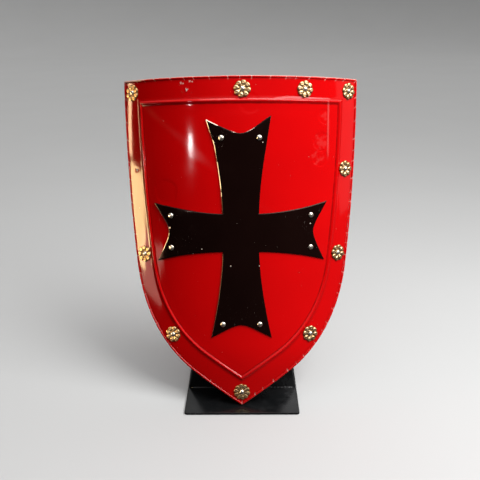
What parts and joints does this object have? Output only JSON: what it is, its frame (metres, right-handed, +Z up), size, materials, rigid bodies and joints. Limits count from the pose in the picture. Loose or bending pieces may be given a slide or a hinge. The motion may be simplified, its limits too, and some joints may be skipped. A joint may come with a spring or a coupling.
{
  "type": "heater shield on a display stand",
  "caption": "Curved steel heater shield with a raised bead, a riveted black cross and brass rosettes, leaning on a flat black display stand.",
  "frame": {"origin": "centre of the foot's flat underside", "axes": "+Z up; the shield's face looks towards -Y and leans back towards +Y; +X is to the right when the face is looked at"},
  "size_m": [0.5142, 0.2724, 0.7012],
  "materials": {
    "red_enamel": "gloss enamel, chipped at the rolled edge and the lost rosettes",
    "black_enamel": "gloss enamel, worn through along the edges",
    "brass": "pressed and polished, slightly tarnished",
    "rivet_steel": "bright domed heads",
    "stand_paint": "gloss black paint"
  },
  "bodies": {
    "root": {"stand_foot": "stand_paint", "stand_upright": "stand_paint", "shield_sheet": "red_enamel", "cross": "black_enamel", "cross_rivet_upper_arm_left": "rivet_steel", "cross_rivet_upper_arm_right": "rivet_steel", "cross_rivet_lower_arm_left": "rivet_steel", "cross_rivet_lower_arm_right": "rivet_steel", "cross_rivet_left_arm_upper": "rivet_steel", "cross_rivet_left_arm_lower": "rivet_steel", "cross_rivet_right_arm_upper": "rivet_steel", "cross_rivet_right_arm_lower": "rivet_steel", "rosette_top_left": "brass", "rosette_rivet_top_left": "rivet_steel", "rosette_top_middle": "brass", "rosette_rivet_top_middle": "rivet_steel", "rosette_top_inner_right": "brass", "rosette_rivet_top_inner_right": "rivet_steel", "rosette_top_right": "brass", "rosette_rivet_top_right": "rivet_steel", "rosette_upper_right": "brass", "rosette_rivet_upper_right": "rivet_steel", "rosette_middle_right": "brass", "rosette_rivet_middle_right": "rivet_steel", "rosette_middle_left": "brass", "rosette_rivet_middle_left": "rivet_steel", "rosette_lower_right": "brass", "rosette_rivet_lower_right": "rivet_steel", "rosette_lower_left": "brass", "rosette_rivet_lower_left": "rivet_steel", "rosette_point": "brass", "rosette_rivet_point": "rivet_steel"}
  },
  "joints": []
}
